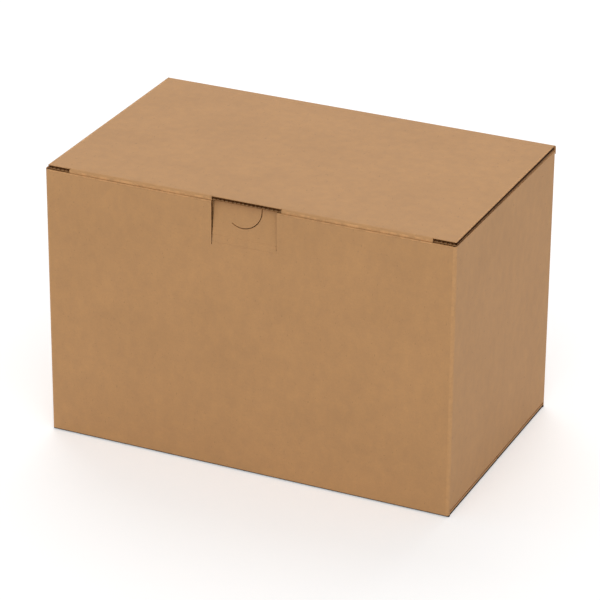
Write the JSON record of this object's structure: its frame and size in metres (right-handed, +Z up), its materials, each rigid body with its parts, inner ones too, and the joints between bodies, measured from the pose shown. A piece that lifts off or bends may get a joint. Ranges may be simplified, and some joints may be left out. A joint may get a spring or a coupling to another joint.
{
  "type": "divided glassware box",
  "caption": "Tuck-top corrugated kraft carton with a lock tab in its front and a cross-slotted divider set that makes cells for glasses.",
  "frame": {"origin": "middle of the footprint, on the surface that the box stands on", "axes": "+X to the right along the width, +Y to the back where the lid is hinged, +Z up"},
  "size_m": [0.28, 0.17, 0.188],
  "materials": {
    "kraft_outside": "matt unprinted kraft liner",
    "kraft_inside": "matt test liner, slightly darker"
  },
  "bodies": {
    "carton": {"box_body": "kraft_outside", "long_divider": "kraft_inside", "cross_divider_1": "kraft_inside", "cross_divider_2": "kraft_inside"},
    "lid": {"lid": "kraft_outside"},
    "lock_tab": {"lock_tab": "kraft_outside"}
  },
  "joints": [
    {"name": "lid_hinge", "type": "hinge", "parent": "carton", "child": "lid", "pos_m": [0, 0.0843, 0.1873], "axis": [-1, 0, 0], "range_deg": [0, 175]},
    {"name": "lock_tab_score", "type": "hinge", "parent": "carton", "child": "lock_tab", "pos_m": [-0.0007, -0.085, 0.1597], "axis": [1, 0, 0], "range_deg": [0, 60]}
  ]
}
